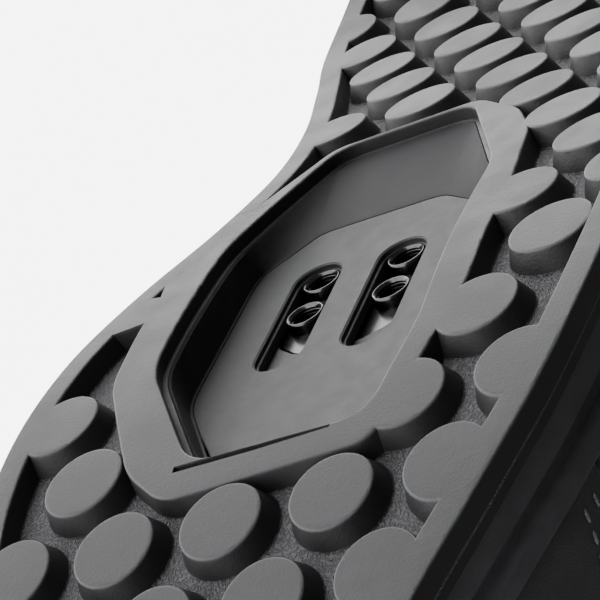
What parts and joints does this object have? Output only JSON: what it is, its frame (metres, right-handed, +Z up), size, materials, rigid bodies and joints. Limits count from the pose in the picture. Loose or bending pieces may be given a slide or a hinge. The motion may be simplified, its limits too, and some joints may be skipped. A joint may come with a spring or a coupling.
{
  "type": "cycling shoe",
  "caption": "Right low-cut laced cycling shoe lying on its inner side, with round rubber lugs and a slotted cleat pocket in the sole.",
  "frame": {"origin": "centre of the shoe's footprint box, on the floor that it lies on", "axes": "+X runs along the shoe towards the toe, the tread faces -Y and slightly up, +Z is up towards the outer side of the shoe"},
  "size_m": [0.2878, 0.1226, 0.0928],
  "materials": {
    "outsole_rubber": "matte",
    "midsole_foam": "matte",
    "floor_nylon": "matte",
    "nut_steel": "satin",
    "upper_fabric": "matte",
    "overlay_leather": "satin",
    "lining_fabric": "matte",
    "lace_fabric": "matte"
  },
  "bodies": {
    "root": {"outsole": "outsole_rubber", "midsole": "midsole_foam", "cleat_floor": "floor_nylon", "nut_plate": "nut_steel", "upper": "upper_fabric", "toe_cap": "overlay_leather", "heel_counter": "overlay_leather", "eyestay_inner": "overlay_leather", "eyestay_outer": "overlay_leather", "tongue": "lining_fabric", "insole": "lining_fabric", "lace": "lace_fabric"}
  },
  "joints": []
}
